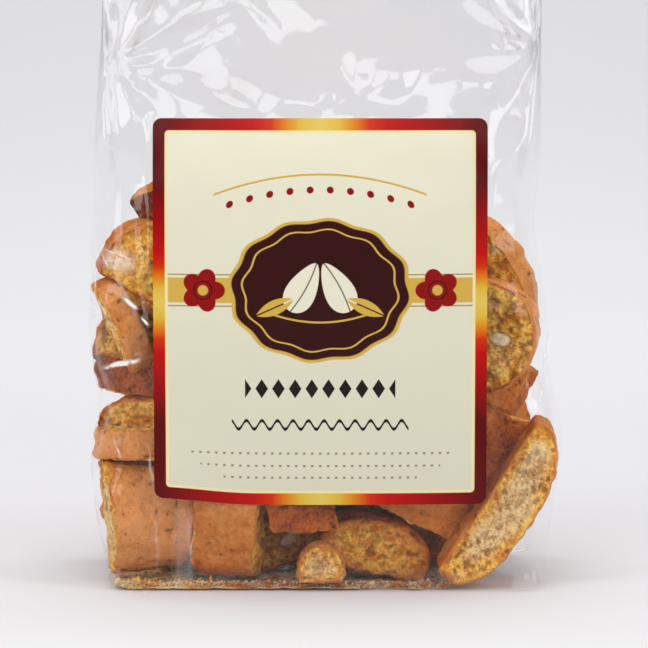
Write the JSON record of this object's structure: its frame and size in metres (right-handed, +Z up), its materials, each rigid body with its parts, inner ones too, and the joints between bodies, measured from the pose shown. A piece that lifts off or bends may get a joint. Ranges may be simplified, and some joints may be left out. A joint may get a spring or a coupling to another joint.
{
  "type": "bag of almond biscotti",
  "caption": "Clear block-bottom bag of almond biscotti with a flat top seal, folded side gussets and a paper label on the front.",
  "frame": {"origin": "centre of the base of the box that holds the bag and its label", "axes": "+Z up from the base to the top seal, -Y out of the front where the label is, +X to the right seen from the front"},
  "size_m": [0.1516, 0.0776, 0.225],
  "materials": {
    "film_and_biscotti": "clear glossy film over baked biscuits",
    "label_paper": "satin printed paper"
  },
  "bodies": {
    "root": {"bag": "film_and_biscotti", "label": "label_paper"}
  },
  "joints": []
}
